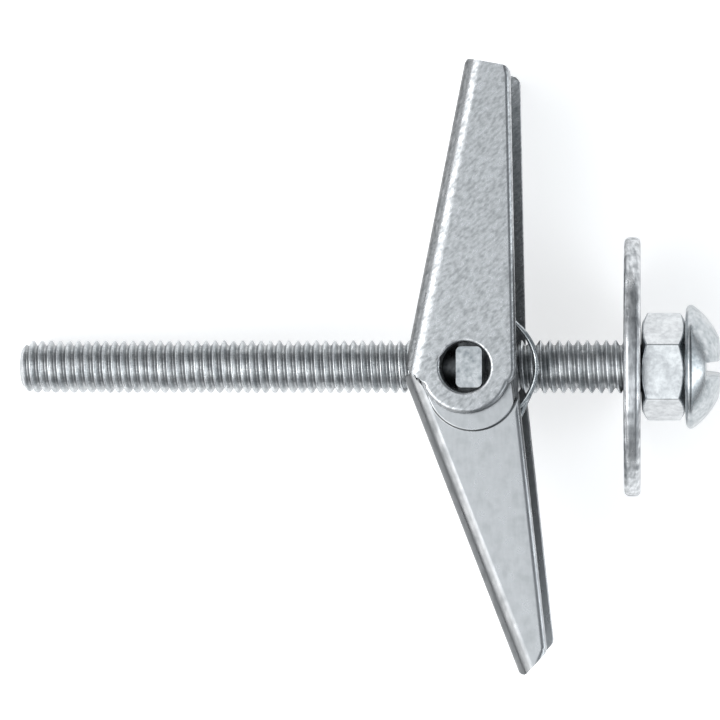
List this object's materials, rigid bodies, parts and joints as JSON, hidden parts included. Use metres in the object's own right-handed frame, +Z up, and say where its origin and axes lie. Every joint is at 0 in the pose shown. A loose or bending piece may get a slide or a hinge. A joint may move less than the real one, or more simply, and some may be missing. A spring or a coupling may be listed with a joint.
{
  "type": "spring toggle bolt",
  "caption": "Spring toggle bolt M4 x 50: slotted screw with hexagon nut and wide washer, and two sprung folding wings on a threaded trunnion, lying as it rests.",
  "frame": {"origin": "on the screw's axis, at the centre of the washer's bearing face, where the screw leaves the board", "axes": "+Z up from the surface the bolt lies on; +X along the screw towards its head, seen from above; +Y towards the tip of the outer wing"},
  "size_m": [0.0524, 0.0457, 0.0191],
  "materials": {
    "zinc_steel": "satin",
    "zinc_sheet": "satin",
    "spring_wire": "satin"
  },
  "bodies": {
    "screw": {"screw": "zinc_steel"},
    "toggle_nut": {"trunnion_nut": "zinc_steel", "spring": "spring_wire"},
    "outer_wing": {"outer_wing": "zinc_sheet"},
    "inner_wing": {"inner_wing": "zinc_sheet"},
    "washer": {"washer": "zinc_steel"},
    "nut": {"hex_nut": "zinc_steel"}
  },
  "joints": [
    {"name": "toggle_travel", "type": "slide", "parent": "screw", "child": "toggle_nut", "axis": [-0.9859, 0, -0.1672], "range_m": [0, 0.03]},
    {"name": "outer_wing_fold", "type": "hinge", "parent": "toggle_nut", "child": "outer_wing", "pos_m": [-0.01123, 0, -0.0019], "axis": [0.1662, -0.1059, -0.9804], "range_deg": [0, 32], "stiffness_Nm_per_rad": 0.008, "springref_deg": -28.65, "deforming": ["spring"]},
    {"name": "inner_wing_fold", "type": "hinge", "parent": "toggle_nut", "child": "inner_wing", "pos_m": [-0.01123, 0, -0.0019], "axis": [-0.1662, 0.1059, 0.9804], "range_deg": [0, 26], "stiffness_Nm_per_rad": 0.008, "springref_deg": -28.65, "deforming": ["spring"]},
    {"name": "washer_slide", "type": "slide", "parent": "screw", "child": "washer", "axis": [-0.9859, 0, -0.1672], "range_m": [0, 0.0014]},
    {"name": "nut_turn", "type": "hinge", "parent": "washer", "child": "nut", "pos_m": [0.00132, 0, 0.00022], "axis": [-0.9859, 0, -0.1672], "range_deg": [0, 720]}
  ],
  "couplings": [
    {"joint": "nut_turn", "follows": "washer_slide", "rad_per_m": 8975.9}
  ]
}
